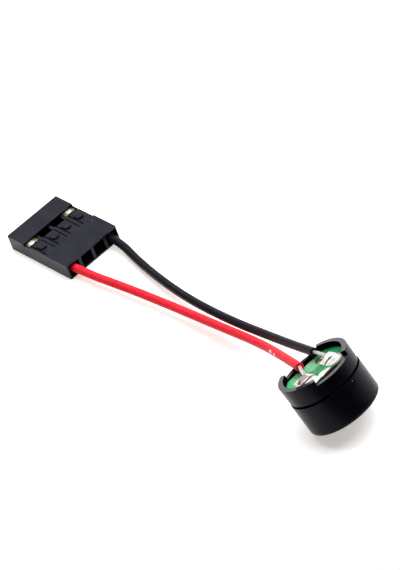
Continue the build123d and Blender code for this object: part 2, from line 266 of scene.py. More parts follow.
class Effect(Enum):
    """Effects that several finishes use, each built once as a node group."""

    GRAIN = "moulded_grain"
    EDGES = "painted_edge_highlight"
    SPECKS = "dust_specks"
    STREAKS = "drawn_streaks"

    def group(self) -> bpy.types.NodeTree:
        """Find the effect's node group, and build it on first use.

        Returns:
            The node group.
        """
        found = bpy.data.node_groups.get(self.value)
        if found:
            return found
        tree = bpy.data.node_groups.new(self.value, "ShaderNodeTree")
        makers = {
            Effect.GRAIN: self._grain,
            Effect.EDGES: self._edges,
            Effect.SPECKS: self._specks,
            Effect.STREAKS: self._streaks,
        }
        makers[self](Graph(tree))
        return tree

    def place(self, graph: Graph, **values: float) -> bpy.types.bpy_prop_collection:
        """Place this effect in a material with these inputs, and return its outputs by name."""
        return graph.add("Group", values, node_tree=self.group()).outputs

    @staticmethod
    def _inputs(graph: Graph, *names: str) -> bpy.types.bpy_prop_collection:
        """Give the group its inputs.

        Args:
            graph: The group's graph.
            *names: The inputs' names.

        Returns:
            The sockets that bring the inputs into the group, by name.
        """
        for name in names:
            graph.tree.interface.new_socket(name, in_out="INPUT", socket_type="NodeSocketFloat")
        return graph.tree.nodes.new("NodeGroupInput").outputs

    @staticmethod
    def _outputs(graph: Graph, **results: Socket) -> None:
        """Give the group its outputs, of which only Normal is a vector.

        Args:
            graph: The group's graph.
            **results: The sockets to put out, by name.
        """
        sink = graph.tree.nodes.new("NodeGroupOutput")
        for name, result in results.items():
            kind = "NodeSocketVector" if name == "Normal" else "NodeSocketFloat"
            graph.tree.interface.new_socket(name, in_out="OUTPUT", socket_type=kind)
            graph.tree.links.new(result, sink.inputs[name])

    def _grain(self, graph: Graph) -> None:
        """Build a fine mould texture over soft unevenness: a value and a bumped normal.

        Args:
            graph: The group's graph.
        """
        broad_rate, broad_share, depth = 0.06, 0.45, 0.05 * MM
        given = self._inputs(graph, "Size", "Depth")
        rate = graph.maths("DIVIDE", 1 / MM, given["Size"], clamp=False)
        fine = graph.cloud(rate, detail=4.0, roughness=0.6)
        broad = graph.cloud(graph.maths("MULTIPLY", rate, broad_rate, clamp=False))
        value = graph.average(broad_share, fine, broad)
        normal = graph.relief(value, given["Depth"], depth)
        self._outputs(graph, Value=value, Normal=normal)

    def _edges(self, graph: Graph) -> None:
        """Build a mask of the outer edges, where a painted highlight pales a moulding or brightens
        a metal.

        Args:
            graph: The group's graph.
        """
        bent, uneven_rate, breakup = (0.995, 0.8), 900.0, 0.5
        given = self._inputs(graph, "Radius")
        rounded = graph.add("Bevel", {"Radius": given["Radius"]}, samples=4).outputs[0]
        # Painted highlight: mask of the outer edges, broken up by noise.
        edge = graph.span(graph.facing(rounded), bent)
        uneven = graph.cloud(uneven_rate, detail=3.0)
        highlight_breakup = graph.average(breakup, 1.0, uneven)
        self._outputs(graph, Mask=graph.maths("MULTIPLY", edge, highlight_breakup))

    def _specks(self, graph: Graph) -> None:
        """Build a mask of scattered pale dust specks.

        Args:
            graph: The group's graph.
        """
        kept_share = 0.3
        given = self._inputs(graph, "Spacing", "Share")
        rate = graph.maths("DIVIDE", 1 / MM, given["Spacing"], clamp=False)
        cells = graph.add("TexVoronoi", {"Vector": graph.place(), "Scale": rate}).outputs
        drawn = graph.add("SeparateColor", {0: cells["Color"]}).outputs[0]
        keep = graph.maths("LESS_THAN", drawn, kept_share)
        spot = graph.maths("LESS_THAN", cells["Distance"], given["Share"])
        self._outputs(graph, Mask=graph.maths("MULTIPLY", keep, spot))

    def _streaks(self, graph: Graph) -> None:
        """Build long fine marks along one direction: a value and a bumped normal.

        Args:
            graph: The group's graph.
        """
        slow_rate, depth = 0.05, 0.04 * MM
        given = self._inputs(graph, "Turn", "Rise", "Width", "Depth")
        turn = graph.add("CombineXYZ", {1: given["Rise"], 2: given["Turn"]}).outputs[0]
        rate = graph.maths("DIVIDE", 1 / MM, given["Width"], clamp=False)
        slow = graph.maths("MULTIPLY", rate, slow_rate, clamp=False)
        stretch = graph.add("CombineXYZ", {0: slow, 1: rate, 2: rate}).outputs[0]
        unturned = {"Vector": graph.place(), "Rotation": turn}
        aligned = graph.add("VectorRotate", unturned, rotation_type="EULER_XYZ").outputs[0]
        scaled = graph.vector("MULTIPLY", aligned, stretch)
        noisy = graph.add("TexNoise", {"Vector": scaled, "Scale": 1.0, "Detail": 3.0})
        marks = noisy.outputs["Fac"]
        normal = graph.relief(marks, given["Depth"], depth)
        self._outputs(graph, Value=marks, Normal=normal)


# Finishes


@dataclass(frozen=True)
class Finish:
    """What every finish has: a name, and a material that is made once."""

    name: str

    def material(self) -> bpy.types.Material:
        """Find the finish's material, and build it on first use.

        Returns:
            The material.
        """
        own_name = f"{self.name}_finish"
        found = bpy.data.materials.get(own_name)
        if found:
            return found
        material = bpy.data.materials.new(own_name)
        material.use_nodes = True
        material.node_tree.nodes.clear()
        graph = Graph(material.node_tree)
        graph.add("OutputMaterial", {"Surface": self.surface(graph)})
        return material

    def surface(self, graph: Graph) -> Socket:
        """Build the shader and return its output socket."""
        raise NotImplementedError

    def dress(self, obj: bpy.types.Object) -> None:
        """Put this finish on every material slot of a piece.

        Args:
            obj: The piece.
        """
        if not obj.material_slots:
            obj.data.materials.append(self.material())
        for slot in obj.material_slots:
            slot.material = self.material()


@dataclass(frozen=True)
class MouldedPlastic(Finish):
    """Black moulded plastic with grain and dust; painted highlight on edges, painted shade in
    hollows, painted light on tops.
    """

    colour: Colour = (0.0015, 0.0015, 0.003, 1)
    bloom: Colour = (0.002, 0.002, 0.0035, 1)
    bloom_range: Range = (0.4, 0.65)
    # Colour of the painted highlight on the outer edges.
    edge: Colour = (0.02, 0.02, 0.025, 1)
    dust: Colour = (0.2, 0.2, 0.22, 1)
    roughness: Range = (0.26, 0.38)
    rough_range: Range = (0.35, 0.7)
    index: float = 1.45
    gloss: float = 0.128
    tint: Colour = (0.8, 0.765, 1, 1)
    grain_size: float = 0.15
    grain_depth: float = 0.05
    edge_radius: float = 0.1
    # Painted shade: reflection is turned down in hollows, by occlusion within this reach.
    hollow_reach: float = 1.2
    hollow_range: Range = (0.4, 0.95)
    hollow_samples: int = 6
    speck_spacing: float = 2.2
    speck_share: float = 0.05
    plane: Matrix | None = None
    # Painted light: faces that look out of the plane are painted lighter and shinier.
    upper_range: Range = (0.4, 0.8)
    painted_top_colour: Colour = (0.049, 0.047, 0.049, 1)
    painted_top_shine: float = 7.6
    patches: tuple[Patch, ...] = ()
    patch_shine: float = 0.1

    def surface(self, graph: Graph) -> Socket:
        """Build the plastic's shader.

        Args:
            graph: The material's graph.

        Returns:
            The shader's output socket.
        """
        grain = Effect.GRAIN.place(graph, Size=self.grain_size, Depth=self.grain_depth)
        edges = Effect.EDGES.place(graph, Radius=self.edge_radius * MM)
        specks = Effect.SPECKS.place(graph, Spacing=self.speck_spacing, Share=self.speck_share)
        value = grain["Value"]
        colour = graph.blend(graph.span(value, self.bloom_range), self.colour, self.bloom)
        # Painted highlight on the outer edges.
        colour = graph.blend(edges["Mask"], colour, self.edge)
        colour = graph.blend(specks["Mask"], colour, self.dust)
        # Painted shade: less reflection where occlusion finds nearby walls.
        reach = {"Distance": self.hollow_reach * MM}
        hollow_shade = graph.add("AmbientOcclusion", reach, samples=self.hollow_samples).outputs["AO"]
        shine = graph.span(hollow_shade, self.hollow_range, (0.0, self.gloss))
        if self.plane is not None:
            flat = flat_place(graph, self.plane)
            # Painted light on the tops: lighter colour and more shine.
            lit_top = upper_mask(graph, self.plane, self.upper_range)
            colour = graph.blend(lit_top, colour, self.painted_top_colour)
            rise = graph.span(lit_top, (0.0, 1.0), (1.0, self.painted_top_shine))
            shine = graph.maths("MULTIPLY", shine, rise)
            for patch in self.patches:
                mask = graph.maths("MULTIPLY", lit_top, patch.mask(graph, flat, value))
                colour = graph.blend(mask, colour, patch.colour)
                fall = graph.span(mask, (1.0, 0.0), (self.patch_shine, 1.0))
                shine = graph.maths("MULTIPLY", shine, fall)
        rough = graph.span(value, self.rough_range, self.roughness)
        more = {"IOR": self.index, "Specular IOR Level": shine, "Specular Tint": self.tint}
        return graph.principled(colour, rough, grain["Normal"], more)


@dataclass(frozen=True)
class Insulation(Finish):
    """Soft extruded wire insulation with faint lines along it, rubbed places and painted highlight
    spots.
    """

    colour: Colour = (1, 0.04, 0.06, 1)
    deep: Colour = (1, 0.015, 0.03, 1)
    deep_range: Range = (0.35, 0.65)
    rubbed: Colour = (0.95, 0.06, 0.08, 1)
    rubbed_size: float = 0.5
    rubbed_range: Range = (0.56, 0.75)
    # Colour of the painted highlight spots.
    highlight_colour: Colour = (1, 0.92, 0.9, 1)
    roughness: Range = (0.34, 0.5)
    rough_range: Range = (0.3, 0.7)
    index: float = 1.4
    gloss: float = 0.13
    line_width: float = 0.16
    line_depth: float = 0.25
    turn: float = 0.25
    rise: float = 0.25
    # Points of the painted highlight spots, in metres.
    highlight_spots: tuple[Point, ...] = ()
    highlight_radius: float = 0.16
    highlight_edge: float = 0.12
    crinkle: Point | None = None
    crinkle_radius: float = 3.0
    crinkle_edge: float = 4.0
    crinkle_share: float = 0.6

    def surface(self, graph: Graph) -> Socket:
        """Build the insulation's shader.

        Args:
            graph: The material's graph.

        Returns:
            The shader's output socket.
        """
        aim = {"Turn": self.turn, "Rise": self.rise}
        lines = Effect.STREAKS.place(graph, Width=self.line_width, Depth=self.line_depth, **aim)
        grain = Effect.GRAIN.place(graph, Size=self.rubbed_size)
        value = lines["Value"]
        colour = graph.blend(graph.span(value, self.deep_range), self.deep, self.colour)
        rubbed = graph.span(grain["Value"], self.rubbed_range)
        colour = graph.blend(rubbed, colour, self.rubbed)
        if self.crinkle:
            radius, edge = self.crinkle_radius * MM, self.crinkle_edge * MM
            creased = graph.maths("MULTIPLY", graph.near(self.crinkle, radius, edge), value)
            share = graph.maths("MULTIPLY", creased, self.crinkle_share)
            colour = graph.blend(share, colour, self.rubbed)
        # Painted highlights: small pale spots at given points.
        for spot in self.highlight_spots:
            mask = graph.near(spot, self.highlight_radius * MM, self.highlight_edge * MM)
            colour = graph.blend(mask, colour, self.highlight_colour)
        rough = graph.span(value, self.rough_range, self.roughness)
        more = {"IOR": self.index, "Specular IOR Level": self.gloss}
        return graph.principled(colour, rough, lines["Normal"], more)


@dataclass(frozen=True)
class BoardLaminate(Finish):
    """Green solder resist over copper, with random dark clouds, painted glare, highlight and
    shade, and near-black sides.
    """

    plane: Matrix
    patches: tuple[Patch, ...]
    green: Colour = (0.02, 0.3, 0.1, 1)
    dark: Colour = (0.008, 0.13, 0.045, 1)
    dark_range: Range = (0.36, 0.6)
    core: Colour = (0.03, 0.03, 0.02, 1)
    core_range: Range = (0.9, 0.6)
    cloud_rate: float = 900.0
    fleck_rate: float = 2600.0
    fleck_strength: float = 0.3
    fleck_depth: float = 0.03
    roughness: Range = (0.22, 0.38)
    rough_range: Range = (0.3, 0.7)
    index: float = 1.3

    def surface(self, graph: Graph) -> Socket:
        """Build the laminate's shader.

        Args:
            graph: The material's graph.

        Returns:
            The shader's output socket.
        """
        cloud = graph.cloud(self.cloud_rate, detail=5.0, roughness=0.65)
        fleck = graph.cloud(self.fleck_rate)
        colour = graph.blend(graph.span(cloud, self.dark_range), self.dark, self.green)
        flat = flat_place(graph, self.plane)
        # Patches paint glare, highlight and shade, and a few dark and brown places.
        for patch in self.patches:
            colour = graph.blend(patch.mask(graph, flat, cloud), colour, patch.colour)
        # Faces turned away from the board's plane are near black.
        side = upper_mask(graph, self.plane, self.core_range)
        colour = graph.blend(side, colour, self.core)
        rough = graph.span(fleck, self.rough_range, self.roughness)
        normal = graph.relief(fleck, self.fleck_strength, self.fleck_depth * MM)
        return graph.principled(colour, rough, normal, {"IOR": self.index})


@dataclass(frozen=True)
class SolderMetal(Finish):
    """Bright solder with a frosted skin, painted shade on parts of the mounds and brown flux in
    the hollows.
    """

    bright: Colour = (1, 0.99, 0.97, 1)
    frost: Colour = (0.88, 0.85, 0.79, 1)
    frost_range: Range = (0.45, 0.7)
    flux: Colour = (0.1, 0.05, 0.02, 1)
    # Painted shade colour where the mound's dull attribute is high.
    dull: Colour = (0.4, 0.31, 0.29, 1)
    shade_and_flux_range: Range = (0.25, 0.7)
    shade_and_flux_breakup: Range = (-0.25, 0.25)
    shade_share: float = 0.6
    metallic: Range = (0.12, 0.05)
    roughness: Range = (0.22, 0.5)
    cloud_rate: float = 1100.0
    fine_rate: float = 5200.0
    fine_strength: float = 0.35
    fine_depth: float = 0.03

    def surface(self, graph: Graph) -> Socket:
        """Build the solder's shader, with painted shade and flux where the mound's attributes put
        them.

        Args:
            graph: The material's graph.

        Returns:
            The shader's output socket.
        """
        cloud = graph.cloud(self.cloud_rate, detail=5.0, roughness=0.6)
        fine = graph.cloud(self.fine_rate, detail=3.0)
        colour = graph.blend(graph.span(cloud, self.frost_range), self.bright, self.frost)
        broken = graph.span(cloud, (0.3, 0.7), self.shade_and_flux_breakup)
        masks = {}
        # The dull mask lays painted shade; the flux mask lays real flux.
        for name, over in (("dull", self.dull), ("flux", self.flux)):
            given = graph.add("Attribute", attribute_name=name).outputs["Fac"]
            masks[name] = graph.span(graph.maths("ADD", given, broken), self.shade_and_flux_range)
            colour = graph.blend(masks[name], colour, over)
        shade_dulled = graph.maths("MULTIPLY", masks["dull"], self.shade_share)
        matt = graph.maths("ADD", shade_dulled, masks["flux"])
        rough = graph.span(matt, (0.0, 1.0), self.roughness)
        normal = graph.relief(fine, self.fine_strength, self.fine_depth * MM)
        more = {"Metallic": graph.span(matt, (0.0, 1.0), self.metallic)}
        return graph.principled(colour, rough, normal, more)


@dataclass(frozen=True)
class SheetMetal(Finish):
    """Rolled, drawn or plated metal with streaks along one direction."""

    colour: Colour = (0.82, 0.81, 0.78, 1)
    dull: Colour = (0.55, 0.53, 0.5, 1)
    dull_range: Range = (0.4, 0.7)
    roughness: Range = (0.16, 0.36)
    rough_range: Range = (0.3, 0.7)
    streak_width: float = 0.08
    streak_depth: float = 0.25
    turn: float = -0.18
    edge_radius: float = 0.05
    metallic: float = 1.0
    plane: Matrix | None = None
    patches: tuple[Patch, ...] = ()

    def surface(self, graph: Graph) -> Socket:
        """Build the metal's shader.

        Args:
            graph: The material's graph.

        Returns:
            The shader's output socket.
        """
        marks = {"Width": self.streak_width, "Depth": self.streak_depth}
        streaks = Effect.STREAKS.place(graph, Turn=self.turn, **marks)
        edges = Effect.EDGES.place(graph, Radius=self.edge_radius * MM)
        value = streaks["Value"]
        colour = graph.blend(graph.span(value, self.dull_range), self.colour, self.dull)
        # Painted highlight: the outer edges take the bright colour.
        colour = graph.blend(edges["Mask"], colour, self.colour)
        if self.plane is not None:
            flat = flat_place(graph, self.plane)
            # Patches paint other colours, such as the terminals' painted highlights.
            for patch in self.patches:
                colour = graph.blend(patch.mask(graph, flat, value), colour, patch.colour)
        rough = graph.span(value, self.rough_range, self.roughness)
        return graph.principled(colour, rough, streaks["Normal"], {"Metallic": self.metallic})


@dataclass(frozen=True)
class FiredLayer(Finish):
    """A fired or cast matt layer: piezo ceramic, silver paste or silicone adhesive."""

    colour: Colour = (0.7, 0.68, 0.6, 1)
    shade: Colour = (0.5, 0.48, 0.42, 1)
    shade_range: Range = (0.4, 0.65)
    metallic: float = 0.0
    roughness: Range = (0.4, 0.65)
    rough_range: Range = (0.3, 0.7)
    grain_size: float = 0.08
    grain_depth: float = 0.35

    def surface(self, graph: Graph) -> Socket:
        """Build the layer's shader.

        Args:
            graph: The material's graph.

        Returns:
            The shader's output socket.
        """
        grain = Effect.GRAIN.place(graph, Size=self.grain_size, Depth=self.grain_depth)
        value = grain["Value"]
        colour = graph.blend(graph.span(value, self.shade_range), self.colour, self.shade)
        rough = graph.span(value, self.rough_range, self.roughness)
        return graph.principled(colour, rough, grain["Normal"], {"Metallic": self.metallic})


@dataclass(frozen=True)
class StudioFloor(Finish):
    """White paper that glows in view, keeps the part's shadow and is clear from below."""

    colour: Colour = (0.93, 0.93, 0.93, 1)
    glow: Colour = (1, 0.955, 0.91, 1)
    strength: float = 0.5
    fibre_rate: float = 300.0
    fibre_depth: float = 0.05

    def surface(self, graph: Graph) -> Socket:
        """Build the floor's shader.

        Args:
            graph: The material's graph.

        Returns:
            The shader's output socket.
        """
        normal = graph.relief(graph.cloud(self.fibre_rate, detail=3.0), self.fibre_depth, MM)
        paper = graph.add("BsdfDiffuse", {"Color": self.colour, "Normal": normal})
        path = graph.add("LightPath").outputs
        mirrored = graph.maths("ADD", path["Is Glossy Ray"], path["Is Transmission Ray"])
        shown = graph.maths("ADD", path["Is Camera Ray"], mirrored)
        strength = graph.maths("MULTIPLY", shown, self.strength)
        glow = graph.add("Emission", {"Color": self.glow, "Strength": strength})
        lit = graph.add("AddShader", {0: paper.outputs[0], 1: glow.outputs[0]}).outputs[0]
        below = graph.add("NewGeometry").outputs["Backfacing"]
        clear = graph.add("BsdfTransparent", {"Color": (1, 1, 1, 1)}).outputs[0]
        return graph.add("MixShader", {0: below, 1: lit, 2: clear}).outputs[0]


# Pieces


def put(obj: bpy.types.Object, replaced: str) -> bpy.types.Object:
    """Hang a new piece on the part and hide the plain solid that it stands for.

    Args:
        obj: The finished piece, in place in the row frame.
        replaced: The plain solid that it stands for.

    Returns:
        The same piece.
    """
    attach(obj, ROOT)
    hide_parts(replaced)
    log.info("%s made", obj.name)
    return obj


def new_object(name: str, data: bpy.types.ID) -> bpy.types.Object:
    """Make an object and link it to the scene.

    Args:
        name: The object's name.
        data: Its mesh, curve, lamp or camera.

    Returns:
        The object.
    """
    obj = bpy.data.objects.new(name, data)
    bpy.context.scene.collection.objects.link(obj)
    return obj


def round_curve(name: str, radius: float, sides: int) -> bpy.types.Curve:
    """Start a round curve that is closed at its ends.

    Args:
        name: The curve's name.
        radius: Its radius in metres.
        sides: Blender's bevel resolution.

    Returns:
        The curve, which has no spline yet.
    """
    curve = bpy.data.curves.new(name, "CURVE")
    curve.dimensions = "3D"
    curve.bevel_depth = radius
    curve.bevel_resolution = sides
    curve.use_fill_caps = True
    return curve


def smooth_curve(points: list[Vector], name: str, radius: float) -> bpy.types.Curve:
    """Make a round curve on one smooth open spline.

    Args:
        points: Control points in metres.
        name: Name of the curve.
        radius: Half the curve's thickness in metres.

    Returns:
        The curve.
    """
    sides, steps, order = 7, 14, 3
    curve = round_curve(name, radius, sides)
    curve.resolution_u = steps
    spline = curve.splines.new("NURBS")
    spline.points.add(len(points) - 1)
    for point, place in zip(spline.points, points):
        point.co = (*place, 1)
    spline.order_u = order
    spline.use_endpoint_u = True
    return curve


@dataclass
class Wire:
    """One insulated wire, from its solder joint to its way in the connector."""

    colour: str
    finish: Insulation
    exits: list[Point]
    free: list[Point]
    way: int
    with_pieces: list[str]
    diameter: float = 1.28
    length: float = 57.95
    entry: float = 15.6
    tip: float = 10.2

    def leave(self, buzzer: BuzzerPlace) -> list[Vector]:
        """Find the points in metres where the wire leaves the buzzer, its end first."""
        return [buzzer.matrix(buzzer.rim_level) @ Vector(point) for point in self.exits]

    def build(self, buzzer: BuzzerPlace, housing: HousingPlace) -> bpy.types.Object:
        """Lay the wire as a cord.

        Args:
            buzzer: The place of the buzzer.
            housing: The place of the connector housing.

        Returns:
            The cord's curve object.
        """
        name = f"{self.colour}_cord"
        points = self.leave(buzzer) + [Vector(point) * MM for point in self.free]
        points += [housing.in_way(self.way, along) for along in (self.entry, self.tip)]
        cord = new_object(name, smooth_curve(points, name, self.diameter / 2 * MM))
        self.finish.dress(cord)
        put(cord, f"{self.colour}_wire")
        return cord


@dataclass(frozen=True)
class Lump:
    """A soft round rise in the board's own millimetres, used for solder height and for shares of
    painted shade and flux.
    """

    x: float
    y: float
    height: float
    reach_x: float
    reach_y: float

    def at(self, x: float, y: float) -> float:
        """Return what this lump adds at a place."""
        across = ((x - self.x) / self.reach_x) ** 2 + ((y - self.y) / self.reach_y) ** 2
        return self.height * math.exp(-across)


@dataclass
class SolderJoint:
    """A wetted mound of solder on one long pad, in the board's own millimetres."""

    colour: str
    centre: Spot
    half_length: float
    half_width: float
    seed: float
    lumps: list[Lump]
    shade_and_flux: dict[str, list[Lump]]
    strand_path: list[Point]
    finish: Finish
    corner: float = 0.15
    fillet: float = 0.5
    skin: float = 0.1
    least: float = 0.02
    ripple: float = 0.07
    ripple_rate: float = 1.7
    wander: float = 0.05
    wander_rate: float = 1.5
    wander_seed: float = 7.0
    pad_thickness: float = 0.05
    columns: int = 96
    rows: int = 60

    def height(self, x: float, y: float, inset: float) -> float:
        """Height of the solder at a place.

        Args:
            x: Distance towards the front gap.
            y: Distance towards the black wire's side.
            inset: Distance in from the wetted outline.

        Returns:
            The height above the pad, in millimetres.
        """
        swell = self.skin + sum(lump.at(x, y) for lump in self.lumps)
        spot = Vector((x * self.ripple_rate, y * self.ripple_rate, self.seed))
        swell += noise.noise(spot) * self.ripple
        wetted = min(1.0, max(0.0, inset / self.fillet))
        return max(self.least, swell) * wetted * wetted * (3 - 2 * wetted)

    def build(self, place: Matrix) -> bpy.types.Object:
        """Model the mound as a height field on the pad's rounded outline.

        Args:
            place: Matrix of the pad's upper face.

        Returns:
            The mound.
        """
        mesh = bmesh.new()
        bmesh.ops.create_grid(mesh, x_segments=self.columns, y_segments=self.rows, size=1.0)
        layers = {name: mesh.verts.layers.float.new(name) for name in self.shade_and_flux}
        for vert in mesh.verts:
            u, v = vert.co.x, vert.co.y
            rate, seed = self.wander_rate, self.seed + self.wander_seed
            wander = 1 + self.wander * noise.noise(Vector((u * rate, v * rate, seed)))
            x = self.centre[0] + u * (1 - self.corner * v * v) * self.half_length * wander
            y = self.centre[1] + v * (1 - self.corner * u * u) * self.half_width * wander
            inset_x = (1 - abs(u)) * self.half_length
            inset_y = (1 - abs(v)) * self.half_width
            inset = inset_x * inset_y / math.hypot(inset_x, inset_y) if inset_x * inset_y else 0.0
            # Each attribute holds a share: dull of painted shade, flux of flux.
            for name, layer in layers.items():
                vert[layer] = min(1.0, sum(marked_lump.at(x, y) for marked_lump in self.shade_and_flux[name]))
            vert.co = (x, y, self.height(x, y, inset) if inset else -self.pad_thickness)
        border = [edge for edge in mesh.edges if edge.is_boundary]
        bmesh.ops.holes_fill(mesh, edges=border, sides=0)
        bmesh.ops.recalc_face_normals(mesh, faces=mesh.faces)
        bmesh.ops.transform(mesh, matrix=place, verts=mesh.verts)
        name = f"{self.colour}_joint"
        data = bpy.data.meshes.new(name)
        mesh.to_mesh(data)
        mesh.free()
        data.shade_smooth()
        mound = new_object(name, data)
        self.finish.dress(mound)
        return put(mound, f"{self.colour}_solder")


@dataclass
class Strands:
    """The bare twisted strands between a wire's insulation and its solder, in millimetres."""

    colour: str
    path: list[Point]
    finish: Finish
    ring_count: int = 6
    radius: float = 0.082
    sides: int = 3
    spread: float = 0.165
    spread_growth: float = 0.05
    twist: float = 2.4

    def middle_line(self, place: Matrix, start: Vector) -> list[Vector]:
        """Find the bundle's smooth middle line.

        Args:
            place: Matrix of the pad's upper face.
            start: Middle of the insulation's end, in metres.

        Returns:
            Points along the line, in metres.
        """
        route = [start] + [place @ Vector(point) for point in self.path]
        guide = new_object("guide", smooth_curve(route, "guide", 0.0))
        guide_mesh = bpy.data.meshes.new_from_object(guide)
        line = [vert.co.copy() for vert in guide_mesh.vertices]
        bpy.data.objects.remove(guide)
        bpy.data.meshes.remove(guide_mesh)
        return line

    def build(self, place: Matrix, start: Vector) -> bpy.types.Object:
        """Twist the strands round one in the middle, from the insulation's end into the solder.

        Args:
            place: Matrix of the pad's upper face.
            start: Middle of the insulation's end, in metres.

        Returns:
            The bundle, one mesh.
        """
        line = self.middle_line(place, start)
        last = len(line) - 1
        node = f"{self.colour}_conductor_end"
        bundle = round_curve(f"{node}_bundle", self.radius * MM, self.sides)
        for number in range(self.ring_count + 1):
            in_ring = number < self.ring_count
            spline = bundle.splines.new("POLY")
            spline.points.add(last)
            for index, point in enumerate(line):
                ahead = line[min(index + 1, last)] - line[max(index - 1, 0)]
                aside = ahead.cross(Vector((0, 0, 1))).normalized()
                above = ahead.cross(aside).normalized()
                share = index / last
                angle = number * math.tau / self.ring_count + share * self.twist
                spread = (self.spread + self.spread_growth * share) * MM if in_ring else 0.0
                offset = (aside * math.cos(angle) + above * math.sin(angle)) * spread
                spline.points[index].co = (*(point + offset), 1)
        twisted = new_object(bundle.name, bundle)
        data = bpy.data.meshes.new_from_object(twisted)
        bpy.data.objects.remove(twisted)
        data.shade_smooth()
        strands = new_object(f"{self.colour}_strands", data)
        self.finish.dress(strands)
        return put(strands, node)


# Sub-assemblies


@dataclass
class Buzzer:
    """Case, ring, board, pads, solder joints and the piezo element inside."""

    place: BuzzerPlace = field(default_factory=BuzzerPlace)
    pad_level: float = 7.28
    case: Finish = MouldedPlastic("case_plastic")
    solder: Finish = SolderMetal("solder")
    strand: Finish = SheetMetal(
        "tinned_strands",
        colour=(0.98, 0.97, 0.95, 1),
        dull=(0.6, 0.57, 0.53, 1),
        streak_width=0.05,
        turn=-0.45,
        metallic=0.4,
    )
    copper: Finish = SheetMetal("copper", colour=(0.5, 0.42, 0.34, 1), dull=(0.3, 0.22, 0.15, 1))

    def joints(self) -> list[SolderJoint]:
        """Describe both solder joints.

        Returns:
            The red wire's joint and the black one's.
        """
        red = SolderJoint(
            "red",
            centre=(0.98, -2.25),
            half_length=2.66,
            half_width=1.35,
            seed=1.3,
            lumps=[
                Lump(0.05, -1.75, 0.42, 0.85, 0.7),
                Lump(0.3, -2.6, 0.22, 0.9, 0.7),
                Lump(2.5, -1.6, 0.4, 0.7, 0.7),
            ],
            shade_and_flux={
                # dull marks painted shade on the mound.
                "dull": [Lump(0.1, -2.3, 1.1, 1.1, 0.9)],
                "flux": [Lump(1.35, -2.2, 1.3, 0.3, 1.5), Lump(0.4, -3.1, 0.7, 0.5, 0.35)],
            },
            strand_path=[(-1.0, -1.5, 0.62), (0.1, -1.7, 0.42)],
            finish=self.solder,
        )
        black = SolderJoint(
            "black",
            centre=(0.6, 2.3),
            half_length=2.35,
            half_width=1.3,
            seed=4.1,
            lumps=[
                Lump(0.3, 2.2, 0.46, 0.7, 0.75),
                Lump(2.1, 2.5, 0.46, 0.65, 0.95),
            ],
            shade_and_flux={
                # dull marks painted shade on the mound.
                "dull": [Lump(-1.1, 1.6, 0.9, 0.5, 0.4)],
                # The second flux lump darkens a spot beside the strands.
                "flux": [Lump(1.15, 2.0, 1.4, 0.27, 1.3), Lump(-0.9, 1.5, 1.6, 0.4, 0.35)],
            },
            strand_path=[(-1.3, 2.25, 0.66), (-0.1, 2.25, 0.44)],
            finish=self.solder,
        )
        return [red, black]

    def board_finish(self) -> BoardLaminate:
        """Describe the board's finish, with painted glare, highlight and shade, and a dark and a
        brown place.

        Returns:
            The finish.
        """
        return BoardLaminate(
            "board_laminate",
            self.place.matrix(self.pad_level),
            patches=(
                # Painted glare: pale green where the board reflects the sky.
                Patch(-1.8, 0.35, 1.7, 1.3, (0.18, 0.47, 0.24, 1), 0.9),
                # Painted light: a brighter, saturated green.
                Patch(-1.7, -3.3, 1.6, 1.0, (0.08, 0.5, 0.19, 1), 0.9),
                # Painted shade: darker green where the board reflects the wires.
                Patch(0.9, 0.4, 1.2, 0.8, (0.012, 0.24, 0.07, 1)),
                # Painted highlight: the front edge catching the light.
                Patch(2.75, -0.1, 0.75, 1.0, (0.85, 0.88, 0.74, 1), 0.95),
                # A brown place at the front edge by the black joint.
                Patch(3.3, 2.6, 0.5, 1.1, (0.2, 0.15, 0.1, 1)),
                # Painted shade: the black gap at the front flat.
                Patch(3.5, 0.6, 0.35, 1.1, (0.004, 0.004, 0.003, 1)),
                # A dark spot beside the black wire's strands.
                Patch(-1.6, 1.45, 0.9, 0.45, (0.04, 0.05, 0.02, 1)),
            ),
        )

    def ring_finish(self) -> MouldedPlastic:
        """Describe the ring's finish, with painted light on its top and a brown and a near-black
        place by the red joint.

        Returns:
            The finish.
        """
        return MouldedPlastic(
            "ring_plastic",
            # The painted shade in hollows reaches far into the ring.
            hollow_reach=2.2,
            hollow_range=(0.75, 0.98),
            plane=self.place.matrix(self.place.rim_level),
            patches=(
                # A brown place and a near-black, dull place on the rim top by the red joint.
                Patch(3.0, -3.2, 0.6, 1.4, (0.05, 0.018, 0.008, 1), 0.8),
                Patch(3.6, -3.85, 1.35, 1.1, (0.001, 0.001, 0.001, 1)),
            ),
        )

    def build(self, wires: dict[str, Wire]) -> None:
        """Dress the case and the board, and model the joints.

        Args:
            wires: Both wires by colour.
        """
        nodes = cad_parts
        self.case.dress(nodes["sounder_case"])
        self.ring_finish().dress(nodes["base_ring"])
        self.board_finish().dress(nodes["circuit_board"])
        for node in ("red_pad", "black_pad"):
            self.copper.dress(nodes[node])
        pad = self.place.matrix(self.pad_level)
        for joint in self.joints():
            joint.build(pad)
            strands = Strands(joint.colour, joint.strand_path, self.strand)
            strands.build(pad, wires[joint.colour].leave(self.place)[0])
        self.dress_element()

    def dress_element(self) -> None:
        """Finish the hidden piezo element, its leads and its adhesive."""
        brass, silver = (0.78, 0.58, 0.25, 1), (0.85, 0.85, 0.83, 1)
        silicone = FiredLayer(
            "adhesive",
            colour=(0.8, 0.78, 0.7, 1),
            shade=(0.68, 0.66, 0.58, 1),
            roughness=(0.3, 0.45),
        )
        finishes = {
            "piezo_plate": SheetMetal("plate_brass", colour=brass, dull=(0.55, 0.38, 0.14, 1)),
            "ceramic_disc": FiredLayer("piezo_ceramic"),
            "electrode": FiredLayer(
                "silver_layer", colour=silver, shade=(0.7, 0.7, 0.68, 1), metallic=1.0
            ),
            "mounting_adhesive": silicone,
            "plate_lead": self.strand,
            "electrode_lead": self.strand,
            "plate_joint": self.solder,
            "electrode_joint": self.solder,
        }
        for node, finish in finishes.items():
            finish.dress(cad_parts[node])


